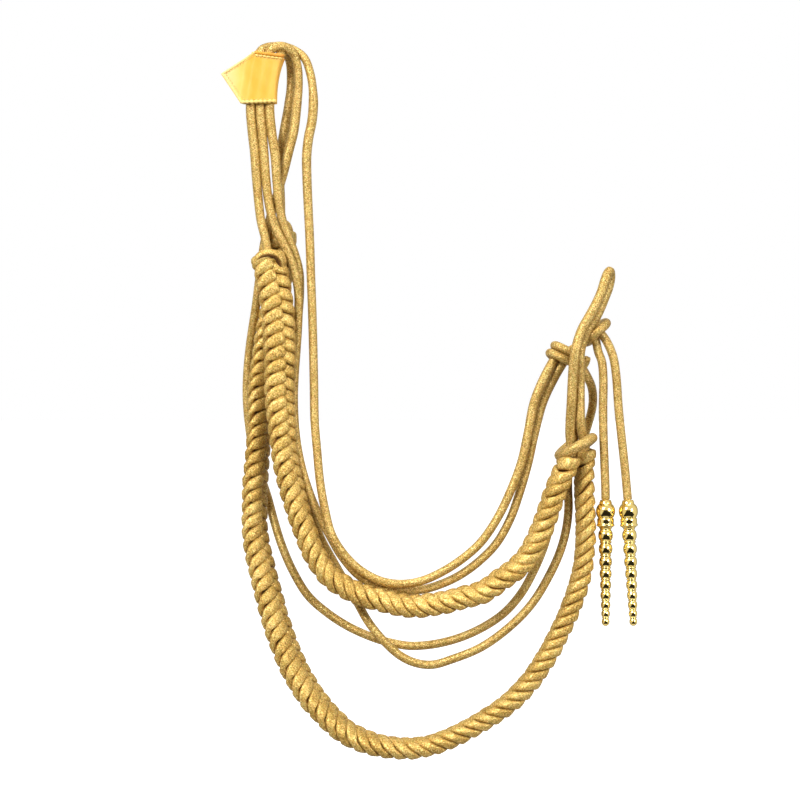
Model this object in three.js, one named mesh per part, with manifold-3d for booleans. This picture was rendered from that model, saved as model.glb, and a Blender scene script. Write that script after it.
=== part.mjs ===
// Dress aiguillette: two plaits and plain cords that hang from a cloth shoulder tab to a button loop,
// with two metal tips on free cords. Millimetres, +X right, +Z up, the viewer looks along +Y.
// The origin is the underside of the arch of cords, where the shoulder button carries it.
import * as THREE from "three";
import { mergeVertices } from "three/addons/utils/BufferGeometryUtils.js";
import Module from "manifold-3d";

const wasm = await Module();
wasm.setup();

// Driving dimensions
const cordDiameter = 6;
const clearance = 0.35;
const layerGap = 0.4;
const cordSides = 8;
const cordStepDiameters = 2.6;

const plaitWidth = 25;
const plaitThickness = 14.5;
const plaitPitch = 9.1;
const grooveDepth = 2.4;

const tabWall = 1.3;
const tabClearance = 0.75;
const tabCordSpacing = 6.9;
const tabHeight = 37;
const tabTopDrop = 5.4;
const tabFlapReach = 16.4;
const tabFlapHeight = 21.8;
const tabLean = 6.4;
const tabTaper = 0.9;
const tabBottom = [-17, -31.4];

const tipLength = 89;
const tipBallDiameter = 13.9;
const tipCupDiameter = 12.4;
const tipBeadTop = 10.6;
const tipBeadBottom = 5.7;
const tipBeads = 9;
const tipSides = 12;
const tipLeanRight = 2.6;

const coilTurns = 2;
const wrapTurns = 1;
const wrapSteps = 10;

const layer = cordDiameter + layerGap;
const windingReach = cordDiameter + clearance;
const degrees = Math.PI / 180;

// Routes of the cords, chosen by hand: [x, z, layer], where a layer is one cord's depth and + is behind
const routes = {
  front_cord_left: [
    [-21.1, -17.1, 0], [-23.8, -32.1, 0], [-22.6, -51.4, 0], [-21.1, -64.3, 0], [-19.7, -83.5, 0],
    [-18.2, -100.7, -0.1], [-16.4, -115, -0.3], [-13.6, -126.4, -0.5], [-12.1, -134.2, -0.7],
    [-11.4, -140.4, -0.9],
  ],
  front_cord_middle: [
    [-14.4, -17.1, 0], [-17, -32.1, 0], [-15.7, -51.4, 0], [-14.3, -67.8, 0], [-13, -85, 0],
    [-11.1, -100.7, 0], [-7.9, -115, -0.1], [-3.1, -126.4, -0.1], [2.5, -137.1, 0],
    [7.5, -151.4, 0.2], [10.1, -165.6, 0.4], [10.2, -179.9, 0.5], [9.6, -194.2, 0.6],
    [8.6, -208.5, 0.7], [7.5, -223.5, 0.8], [6.8, -239.2, 0.85], [7.3, -257, 0.85], [9.3, -275.6, 0.85],
    [12.9, -292.7, 0.8], [17.8, -308.4, 0.8], [24.3, -324.2, 0.8], [31.8, -338.4, 0.8],
    [41.4, -354.9, 0.8], [54.3, -369.1, 0.8], [70, -377, 0.8], [84.3, -379.1, 0.8],
    [98.5, -378.4, 0.8], [112.1, -374.5, 0.8], [126.8, -367.4, 0.8], [141.4, -356.3, 0.8],
    [152.1, -344.9, 0.9], [161.7, -327.7, 0.9], [169.2, -306.3, 0.9], [174.6, -287, 0.9],
    [178.6, -268.5, 0.9], [185, -244.2, 0.9], [193.2, -226.6, 0.8], [199.8, -215.2, 0.5],
    [203.8, -208.6, 0.4],
  ],
  front_cord_right: [
    [-7.9, -17.1, 0], [-10.3, -32.1, 0], [-8.9, -51.4, 0], [-6.4, -67.8, 0], [-5.1, -86.4, 0],
    [-3.6, -102.1, 0.1], [-1.1, -115, 0.3], [2.9, -126.4, 0.5], [7.3, -137.8, 0.85],
    [10.7, -151.4, 1.2], [11.1, -165.6, 1.4], [10, -182.1, 1.6], [8.6, -199.9, 1.7],
    [6.4, -217.8, 1.8], [5, -235.6, 1.9], [5, -253.5, 1.9], [6.4, -271.3, 1.9], [9.3, -289.2, 1.9],
    [13.6, -307, 1.9], [19.3, -324.9, 1.8], [26.4, -342.7, 1.8], [35, -358.4, 1.8],
    [43.6, -373.4, 1.8], [52.1, -387.7, 1.5], [60.3, -401.8, 1], [70.2, -414, 0.7],
    [82.4, -425.2, 0.7], [93.4, -430.6, 0.7], [105.7, -432.1, 0.7], [120.2, -428.1, 0.7],
    [141.8, -419.1, 0.8], [163.3, -403.2, 0.9], [177.8, -387.7, 1], [189.2, -369.1, 1.1],
    [197.1, -352, 1.2], [201.7, -335.6, 1.3], [203.5, -319.9, 1.4], [203.1, -305.6, 1.4],
    [203.5, -293.5, 1.35], [205.6, -284.5, 0.9], [206.8, -276, 0.7], [207.8, -257, 0.6],
    [208.5, -240.6, 0.5], [209.2, -227.5, 0.6],
  ],
  rear_cord_left: [
    [-7.1, -11.4, 0], [-5.9, -4, 0], [-4.8, 1.2, 0.02], [-3, 4.6, 0.4], [-0.5, 6, 1],
    [1.9, 5, 1.65], [3.9, -1.4, 2.1],
    [4.5, -14.3, 2.3], [3.3, -30, 2.1], [0, -48.6, 2.1], [-2.9, -66.4, 2.3], [-3.6, -82.1, 2.5],
    [-2.9, -100, 2.6], [-2.6, -115, 2.5], [-2.4, -122.8, 2.4],
  ],
  rear_cord_middle: [
    [-13.4, -11.4, 0], [-12, 1.8, 0], [-8.4, 10, 0], [-0.2, 11.4, 0.46], [5.8, 6.8, 0.8],
    [9.3, -2.9, 1], [10.3, -17.1, 1.1], [9.1, -30, 1.1], [6.8, -50, 1.1], [3.3, -64.3, 1.1],
    [-0.2, -78.5, 1.2], [-4.3, -92.8, 1.2], [-9, -108.5, 1], [-13.3, -125.7, 0.8],
    [-16.1, -142.8, 0.75], [-18.4, -160.7, 0.9], [-20.6, -177.1, 1.3], [-23.2, -192.8, 1.9],
    [-25.3, -207.1, 2.5], [-26.8, -222.8, 2.8], [-27.3, -239.2, 3.1], [-26.3, -255.6, 3.3],
    [-24.3, -271.3, 3.5], [-21.1, -285.6, 3.6], [-17.1, -298.5, 3.5], [-12.5, -312, 3.1],
    [-7.8, -328.8, 2.6], [-2, -347, 2.2], [5.8, -365, 2], [16.8, -382.9, 1.9],
    [30.7, -395.4, 1.9], [46.6, -405.6, 1.9], [64.7, -413.5, 1.9], [77, -416.9, 1.8],
    [90.7, -419, 1.7], [112.3, -416.8, 1.7], [134.8, -409.4, 1.7], [155.9, -396.6, 1.7],
    [169.2, -382, 1.8], [178.5, -365.6, 1.9], [185.6, -349.1, 2.1], [190.6, -332.7, 2.3],
    [196.3, -316.3, 2.7], [202.1, -301.3, 3.1], [208.5, -286.3, 3.5], [214.2, -272, 3.5],
    [218.5, -257.8, 2.7], [221, -245.6, 2.1], [220.3, -234.2, 1.7], [216.9, -225.8, 1.8], [212.6, -218.6, 1.9],
  ],
  rear_cord_right: [
    [-19.7, -11.4, 0], [-18.6, 1.4, 0], [-17.2, 6.6, 0.12], [-12.8, 10.8, 0.95], [-6.5, 12.2, 1.5],
    [-0.5, 12, 1.75], [6.3, 9.3, 1.9], [14, 2.9, 1.55], [18.8, -10, 0.8], [20.7, -23.6, 0.6], [20.7, -35, 0.6],
    [19.6, -45, 0.6], [17.5, -55, 0.6], [16.1, -67.8, 0.6], [16.3, -85, 0.6], [17.1, -103.5, 0.6],
    [18.3, -128.5, 0.6], [19.1, -153.5, 0.6], [20, -177.8, 0.6], [20.7, -203.5, 0.6],
    [21.3, -232, 0.6], [21.8, -257.8, 0.5], [23.6, -279.2, 0.3], [25.7, -301.3, 0.1],
    [29.3, -321.3, -0.1], [33.9, -338.4, -0.2], [42.1, -352, -0.2], [54.3, -364.1, -0.2],
    [69.3, -372, -0.2], [84.3, -374.1, -0.2], [98.1, -371.9, -0.2], [112.6, -365.6, -0.2],
    [127.5, -356, -0.2], [140.7, -344.1, -0.1], [152.9, -326.2, 0], [162.2, -306.7, 0],
    [169.5, -287.2, 0], [174.2, -266.3, 0], [178.7, -244.2, 0], [186.4, -225.6, 0],
    [194.5, -211.2, 0.3], [198.6, -204.6, 0.4],
  ],
  button_loop: [
    [202, -289.6, -0.85], [205, -281.5, -0.15], [204, -266, -0.6], [204.9, -244.2, -1.4],
    [205.6, -228.5, -1.6], [206.2, -218.5, -1.9], [207.6, -207.8, -2.1], [209.8, -199.2, -1.9],
    [212.6, -192, -1.6], [216.8, -184.5, -1.6], [221.8, -175.5, -1.5], [226, -166.4, -1.4],
    [228.5, -158.5, -1.2], [230.6, -153.2, -0.75], [232.5, -151, -0.2], [233.2, -154.9, 0.35],
    [231.9, -162.1, 0.5], [229.2, -169.2, 0.3], [226, -177, 0], [222, -185, -0.4],
    [216.8, -192.8, -0.76], [213.4, -200, -0.94], [211.2, -208.5, -1.2], [211, -218.5, -1.1],
    [211.1, -229.9, -0.8], [211.1, -244.2, -0.7], [211.6, -259.2, -0.6], [214, -272, 0.25],
    [216.2, -281.6, 0.8],
  ],
  tip_cord_left: [
    [222.3, -196.3, 1.43], [223.4, -202.1, 1.08], [224.6, -208.4, 0.75], [227.1, -215.6, 0.5],
    [228.1, -228.5, 0.4], [227.9, -249.2, 0.4], [228.2, -268.5, 0.4], [228.9, -287, 0.4],
    [229.6, -306.3, 0.4], [229.7, -315, 0.4],
  ],
  tip_cord_right: [
    [225.1, -193.7, 0.55], [228.8, -198.2, 0.58], [232.3, -204.5, 0.45], [235.3, -212.8, 0.3],
    [237.2, -224.9, 0.3], [239, -249.2, 0.3], [241.3, -271.3, 0.3], [243.6, -292.7, 0.3],
    [245.6, -315, 0.3],
  ],
  knot_tuck: [
    [211.4, -221.3, 0.9], [213.6, -218.5, 0.65], [215.6, -215, 0.4], [216, -211.3, 0.25],
  ],
};

// Centre lines of the two plaits, and of the slip loop at the head of each
const plaitRoutes = {
  front_plait: [
    [-11.4, -141.4, -1], [-7.9, -157.1, -1], [-5.4, -171.4, -1], [-3.9, -185.6, -1],
    [-2.9, -203.5, -1], [-2.6, -221.3, -1], [-2.9, -239.2, -1], [-0.9, -264.9, -1], [1.4, -287, -1],
    [4.3, -301.3, -1], [10, -321.3, -1], [15, -336.3, -1], [21.4, -352, -1], [31.4, -367, -1],
    [47.8, -378.4, -1], [70, -385.9, -1], [91.4, -389.8, -1], [113.5, -387.3, -1],
    [129.2, -383.1, -1], [142.8, -379.1, -1], [157.1, -369.1, -1], [170.6, -358.4, -1],
    [181.4, -340.6, -1], [188.5, -322, -1], [194.2, -306.3, -1], [201, -290.6, -1],
  ],
  rear_plait: [
    [-2.4, -124, 2.4], [-3.2, -141.4, 2.4], [-4.8, -157.1, 2.3], [-7.9, -178.5, 2.1],
    [-10.7, -192.8, 1.9], [-13.2, -208.5, 1.7], [-16.1, -227.1, 1.4], [-17.5, -242.8, 1.2],
    [-17.8, -260.6, 1], [-18.9, -278.5, 0.8], [-20.3, -296.3, 0.7], [-21.1, -314.2, 0.7],
    [-21.3, -332, 0.7], [-19.8, -346.3, 0.7], [-16.4, -360.6, 0.7], [-12.1, -378.4, 0.7],
    [-6.4, -399.8, 0.7], [0, -417.7, 0.7], [7.9, -436.3, 0.7], [19.3, -454.8, 0.7],
    [33.9, -471.6, 0.7], [48.6, -483, 0.7], [65.7, -489.4, 0.7], [82.8, -491.9, 0.7],
    [100, -490.9, 0.7], [117.1, -485.5, 0.7], [135.7, -476.2, 0.7], [154.2, -464.8, 0.7],
    [170.6, -450.5, 0.7], [184.9, -431.3, 0.7], [197.1, -409.1, 0.7], [206.3, -388.4, 0.7],
    [212.8, -367, 0.7], [215.6, -346.3, 0.7], [215.6, -324.9, 0.7], [214.9, -307, 0.7],
    [214.9, -294.7, 0.8], [216, -283, 0.8],
  ],
};
const slipLoops = {
  front_plait: [
    [-15.5, -151, -0.9], [-19.4, -147, -1.25], [-19.2, -142.2, -1.6], [-15.6, -138.6, -1.85],
    [-10.6, -137.4, -1.9], [-5.6, -138.4, -1.85], [-2.2, -142, -1.6], [-1.8, -147, -1.15],
    [-4.5, -150.5, -0.8],
  ],
  rear_plait: [
    [-10.6, -134, 2.6], [-8.5, -127, 3.1], [-4.2, -122.2, 3.5], [0.1, -121.6, 3.5],
    [3, -126, 3.1], [3.4, -134, 2.6],
  ],
};
// How far the seam of each plait is turned from the viewer to the inside of its bend
const seamTurns = {
  front_plait: [
    { share: 0, turn: 12 }, { share: 0.15, turn: 24 }, { share: 0.3, turn: 50 },
    { share: 0.45, turn: 64 }, { share: 1, turn: 66 },
  ],
  rear_plait: [
    { share: 0, turn: 32 }, { share: 0.08, turn: 45 }, { share: 0.2, turn: 66 },
    { share: 0.35, turn: 58 }, { share: 0.5, turn: 80 }, { share: 1, turn: 82 },
  ],
};
// Section of a plait: angle from the seam in degrees, and how many pitches the strands lag there
const plaitSection = [
  { angle: 12, lag: 0 }, { angle: 55, lag: 0.55 }, { angle: 100, lag: 1.05 }, { angle: 145, lag: 1.45 },
  { angle: 190, lag: 1.6 }, { angle: 245, lag: 1.45 }, { angle: 295, lag: 1 }, { angle: 346, lag: 0.5 },
];
// One lobe of the plait, as the share of the groove's depth at each ring of a pitch
const lobeRings = [{ groove: 1 }, { groove: 0 }];
const lagRampPitches = 3;
const lagMiddle = 0.8;

// Outline of a tip: shares of its length and of the diameter named before each table
// Ball
const tipBall = [
  { share: 0, radius: 0.31 }, { share: 0.02, radius: 0.34 }, { share: 0.035, radius: 0.43 },
  { share: 0.06, radius: 0.485 }, { share: 0.085, radius: 0.5 }, { share: 0.108, radius: 0.475 },
  { share: 0.13, radius: 0.4 },
];
// Cup
const tipCup = [
  { share: 0.14, radius: 0.49 }, { share: 0.178, radius: 0.48 }, { share: 0.185, radius: 0.52 },
  { share: 0.198, radius: 0.52 }, { share: 0.218, radius: 0.34 },
];
// One bead, with shares of its own height
const tipBeadsStart = 0.225;
const tipBead = [
  { share: 0.04, radius: 0.36 }, { share: 0.25, radius: 0.485 }, { share: 0.6, radius: 0.485 },
  { share: 0.84, radius: 0.36 },
];
// Section of the tab's sleeve: shares of its half width and half depth
const tabSection = [
  { across: -1, deep: 0 }, { across: -0.93, deep: -0.62 }, { across: -0.72, deep: -1 },
  { across: 0, deep: -1.02 }, { across: 0.72, deep: -1 }, { across: 0.93, deep: -0.62 },
  { across: 1, deep: 0 }, { across: 0.93, deep: 0.62 }, { across: 0.72, deep: 1 },
  { across: 0, deep: 1.02 }, { across: -0.72, deep: 1 }, { across: -0.93, deep: 0.62 },
];
const tabRows = [0, 0.5, 1];
const tabCutOverrun = 2;

const cordMetal = { color: 0xcda555, roughness: 0.45, metalness: 0.6 };
const materials = {
  cord: new THREE.MeshStandardMaterial(cordMetal),
  satin: new THREE.MeshStandardMaterial({ color: 0xfbc94c, roughness: 0.4, metalness: 0 }),
  gilt: new THREE.MeshStandardMaterial({ color: 0xd9a441, roughness: 0.15, metalness: 1 }),
};

const routePoints = (rows) => rows.map(([x, z, depth]) => new THREE.Vector3(x, depth * layer, z));
const routeCurve = (rows) => new THREE.CatmullRomCurve3(routePoints(rows), false, "centripetal");

function roundSection(radius) {
  const shape = new THREE.Shape();
  shape.absarc(0, 0, radius, 0, 2 * Math.PI);
  return shape;
}

// A plain cord along a curve
function cordTube(curve, stepDiameters = cordStepDiameters) {
  const steps = Math.max(4, Math.round(curve.getLength() / (stepDiameters * cordDiameter)));
  return new THREE.ExtrudeGeometry(roundSection(cordDiameter / 2), {
    steps,
    curveSegments: cordSides / 2,
    bevelEnabled: false,
    extrudePath: curve,
  });
}

// A geometry as a solid that can be joined or cut, and back
function solidOf(geometry) {
  const bare = geometry.index ? geometry.toNonIndexed() : geometry.clone();
  bare.deleteAttribute("normal");
  bare.deleteAttribute("uv");
  const merged = mergeVertices(bare, 1e-4);
  return new wasm.Manifold(new wasm.Mesh({
    numProp: 3,
    vertProperties: new Float32Array(merged.attributes.position.array),
    triVerts: new Uint32Array(merged.index.array),
  }));
}

function geometryOf(solid) {
  const mesh = solid.getMesh();
  const geometry = new THREE.BufferGeometry();
  geometry.setAttribute("position", new THREE.BufferAttribute(mesh.vertProperties, 3));
  geometry.setIndex(new THREE.BufferAttribute(mesh.triVerts, 1));
  return geometry;
}

// A closed skin through rings of points that run the same way round the direction of travel
function closedSkin(rings) {
  const around = rings[0].length;
  const centre = (ring) => ring.reduce((sum, p) => sum.add(p), new THREE.Vector3()).divideScalar(around);
  const points = [...rings.flat(), centre(rings[0]), centre(rings[rings.length - 1])];
  const first = points.length - 2;
  const last = points.length - 1;
  const faces = [];
  for (let k = 0; k < around; k++) {
    const next = (k + 1) % around;
    for (let j = 0; j + 1 < rings.length; j++) {
      const a = j * around;
      const b = a + around;
      faces.push(a + k, a + next, b + next, a + k, b + next, b + k);
    }
    const end = (rings.length - 1) * around;
    faces.push(first, next, k, last, end + k, end + next);
  }
  const geometry = new THREE.BufferGeometry();
  geometry.setAttribute("position", new THREE.Float32BufferAttribute(points.flatMap((p) => p.toArray()), 3));
  geometry.setIndex(faces);
  return geometry;
}

// Straight lines between the rows of a table
function between(rows, key, value, at) {
  const next = rows.findIndex((row) => row[key] > at);
  if (next === 0) return rows[0][value];
  if (next < 0) return rows[rows.length - 1][value];
  const [a, b] = [rows[next - 1], rows[next]];
  return a[value] + ((b[value] - a[value]) * (at - a[key])) / (b[key] - a[key]);
}

// A plait: an oval rope whose surface is raised in two rows of slanting lobes that meet at a seam
function plaitSolid(name) {
  const curve = routeCurve(plaitRoutes[name]);
  curve.arcLengthDivisions = 1000;
  const length = curve.getLength();
  const pitches = Math.round(length / plaitPitch);
  const pitch = length / pitches;
  const lastRing = pitches * lobeRings.length;
  const behind = new THREE.Vector3(0, 1, 0);
  const rings = [];
  for (let ring = 0; ring <= lastRing; ring++) {
    const along = ring / lobeRings.length;
    const ramp = Math.min(1, along / lagRampPitches, (pitches - along) / lagRampPitches);
    const groove = grooveDepth * lobeRings[ring % lobeRings.length].groove;
    rings.push(plaitSection.map(({ angle, lag }) => {
      const share = (along + (lag - lagMiddle) * ramp) * pitch / length;
      const place = curve.getPointAt(THREE.MathUtils.clamp(share, 0, 1));
      const travel = curve.getTangentAt(THREE.MathUtils.clamp(share, 0, 1));
      const inside = travel.clone().cross(behind).normalize();
      const turn = between(seamTurns[name], "share", "turn", share) * degrees;
      const back = new THREE.Vector3().crossVectors(inside, travel).normalize();
      const seam = inside.clone().multiplyScalar(Math.sin(turn)).addScaledVector(back, -Math.cos(turn));
      const side = inside.clone().multiplyScalar(-Math.cos(turn)).addScaledVector(back, -Math.sin(turn));
      return place
        .addScaledVector(seam, (plaitThickness / 2 - groove) * Math.cos(angle * degrees))
        .addScaledVector(side, (plaitWidth / 2 - groove) * Math.sin(angle * degrees));
    }));
  }
  const loop = cordTube(routeCurve(slipLoops[name]), 1);
  return geometryOf(solidOf(closedSkin(rings)).add(solidOf(loop)));
}

// A cord wound round a bundle: centre, lean of the bundle in the XZ plane, and the two radii of the winding
function wrapTube({ centre, lean, across, deep, turns, start }) {
  const points = [];
  const axis = new THREE.Vector3(Math.cos(lean * degrees), 0, Math.sin(lean * degrees));
  const sideways = new THREE.Vector3(axis.z, 0, -axis.x);
  const advance = cordDiameter + clearance;
  const count = Math.round(turns * wrapSteps);
  for (let i = 0; i <= count; i++) {
    const turned = (i / count) * turns;
    const angle = start * degrees + turned * 2 * Math.PI;
    points.push(new THREE.Vector3(...centre)
      .addScaledVector(axis, (turned - turns / 2) * advance)
      .addScaledVector(sideways, across * Math.cos(angle))
      .addScaledVector(new THREE.Vector3(0, 1, 0), deep * Math.sin(angle)));
  }
  const curve = new THREE.CatmullRomCurve3(points, false, "centripetal");
  return new THREE.ExtrudeGeometry(roundSection(cordDiameter / 2), {
    steps: count,
    curveSegments: cordSides / 2,
    bevelEnabled: false,
    extrudePath: curve,
  });
}

// The windings of the knot and of the plait's end
const wraps = {
  knot_coil: {
    centre: [198.9, 0.4 * layer, -210], lean: 57, turns: coilTurns, start: 100,
    across: 3.8 + windingReach, deep: 1.7 + windingReach,
  },
  tip_cord_wrap: {
    centre: [223.6, 0.98 * layer, -195], lean: -56, turns: wrapTurns, start: 90,
    across: 3.3 + windingReach, deep: 0.55 * layer + windingReach,
  },
  plait_end_wrap: {
    centre: [208.5, 0.1 * layer, -276.2], lean: -55, turns: wrapTurns, start: 90,
    across: -6.9 - windingReach, deep: 1.42 * layer + windingReach,
  },
};

// The cloth tab: a sleeve round the three cords, with a flat pointed flap on its left
function tabSolid() {
  const [bottomX, bottomZ] = tabBottom;
  const inner = { wide: 1.5 * tabCordSpacing + tabClearance, deep: cordDiameter / 2 + tabClearance };
  const outer = { wide: inner.wide + tabWall, deep: inner.deep + tabWall };
  const sleeve = (size, overrun) => tabRows.map((share) => {
    const past = share === 0 ? -overrun : share * overrun;
    return tabSection.map(({ across, deep }) => new THREE.Vector3(
      bottomX + tabLean * share + across * (size.wide - tabTaper * share),
      deep * size.deep,
      bottomZ + share * (tabHeight - (tabTopDrop * (across + 1)) / 2) + past,
    ));
  });
  const flapShape = new THREE.Shape([
    new THREE.Vector2(bottomX - outer.wide + tabWall, bottomZ),
    new THREE.Vector2(bottomX - outer.wide + tabWall + tabLean + tabTaper, bottomZ + tabHeight),
    new THREE.Vector2(bottomX - outer.wide - tabFlapReach + tabWall, bottomZ + tabFlapHeight),
  ].reverse());
  const flap = new THREE.ExtrudeGeometry(flapShape, { depth: 2 * tabWall, bevelEnabled: false });
  flap.translate(0, 0, -tabWall);
  flap.rotateX(Math.PI / 2);
  const walls = solidOf(closedSkin(sleeve(outer, 0))).add(solidOf(flap));
  return geometryOf(walls.subtract(solidOf(closedSkin(sleeve(inner, tabCutOverrun)))));
}

// A turned metal tip: ball, cup and a row of shrinking beads
function tipProfile() {
  const outline = [new THREE.Vector2(0, 0)];
  const turn = (radius, share) => outline.push(new THREE.Vector2(radius, -share * tipLength));
  tipBall.forEach(({ share, radius }) => turn(radius * tipBallDiameter, share));
  tipCup.forEach(({ share, radius }) => turn(radius * tipCupDiameter, share));
  const sizes = Array.from({ length: tipBeads }, (_, i) => (
    tipBeadTop + ((tipBeadBottom - tipBeadTop) * i) / (tipBeads - 1)));
  const total = sizes.reduce((sum, size) => sum + size, 0);
  let from = tipBeadsStart;
  sizes.forEach((size) => {
    const height = ((1 - tipBeadsStart) * size) / total;
    tipBead.forEach(({ share, radius }) => turn(radius * size, from + height * share));
    from += height;
  });
  outline.push(new THREE.Vector2(0, -tipLength));
  return outline;
}

function tipMesh(name, cordName, lean) {
  const [x, z, depth] = routes[cordName][routes[cordName].length - 1];
  const geometry = new THREE.LatheGeometry(tipProfile().reverse(), tipSides);
  geometry.rotateX(Math.PI / 2);
  const mesh = new THREE.Mesh(geometry, materials.gilt);
  mesh.name = name;
  mesh.position.set(x, depth * layer, z - clearance);
  mesh.rotation.y = -lean * degrees;
  return mesh;
}

const aiguillette = new THREE.Group();

function addPiece(name, geometry, material) {
  const mesh = new THREE.Mesh(geometry, material);
  mesh.name = name;
  aiguillette.add(mesh);
}

addPiece("shoulder_tab", tabSolid(), materials.satin);
Object.keys(routes).forEach((name) => addPiece(name, cordTube(routeCurve(routes[name])), materials.cord));
Object.keys(plaitRoutes).forEach((name) => addPiece(name, plaitSolid(name), materials.cord));
Object.keys(wraps).forEach((name) => addPiece(name, wrapTube(wraps[name]), materials.cord));
aiguillette.add(tipMesh("tip_left", "tip_cord_left", 0));
aiguillette.add(tipMesh("tip_right", "tip_cord_right", tipLeanRight));

export default aiguillette;
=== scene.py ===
# The looks of a dress aiguillette: braided gold cords, two plaits, a knot, a satin tab and turned tips,
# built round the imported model. Metres, +X right, +Z up, and the camera looks along +Y.
import math
import random

import bpy
import numpy as np
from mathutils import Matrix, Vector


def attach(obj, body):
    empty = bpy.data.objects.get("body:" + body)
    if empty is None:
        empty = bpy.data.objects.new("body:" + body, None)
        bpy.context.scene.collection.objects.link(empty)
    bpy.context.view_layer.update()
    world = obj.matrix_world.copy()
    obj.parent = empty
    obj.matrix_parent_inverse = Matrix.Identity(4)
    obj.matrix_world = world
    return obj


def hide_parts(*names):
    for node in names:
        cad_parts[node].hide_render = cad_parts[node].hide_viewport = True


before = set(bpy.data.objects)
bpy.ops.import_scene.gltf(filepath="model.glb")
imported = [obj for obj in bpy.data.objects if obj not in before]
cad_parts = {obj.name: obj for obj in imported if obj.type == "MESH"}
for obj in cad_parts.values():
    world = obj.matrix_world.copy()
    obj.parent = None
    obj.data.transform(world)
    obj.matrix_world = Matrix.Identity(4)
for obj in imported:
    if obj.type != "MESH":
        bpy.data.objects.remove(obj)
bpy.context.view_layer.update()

MM = 0.001
LAYER = 6.4 * MM
WINDING_REACH = 6.35 * MM

PLAIT_WIDTH = 25 * MM
PLAIT_THICKNESS = 14.5 * MM
PLAIT_PITCH = 9.1 * MM

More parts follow.
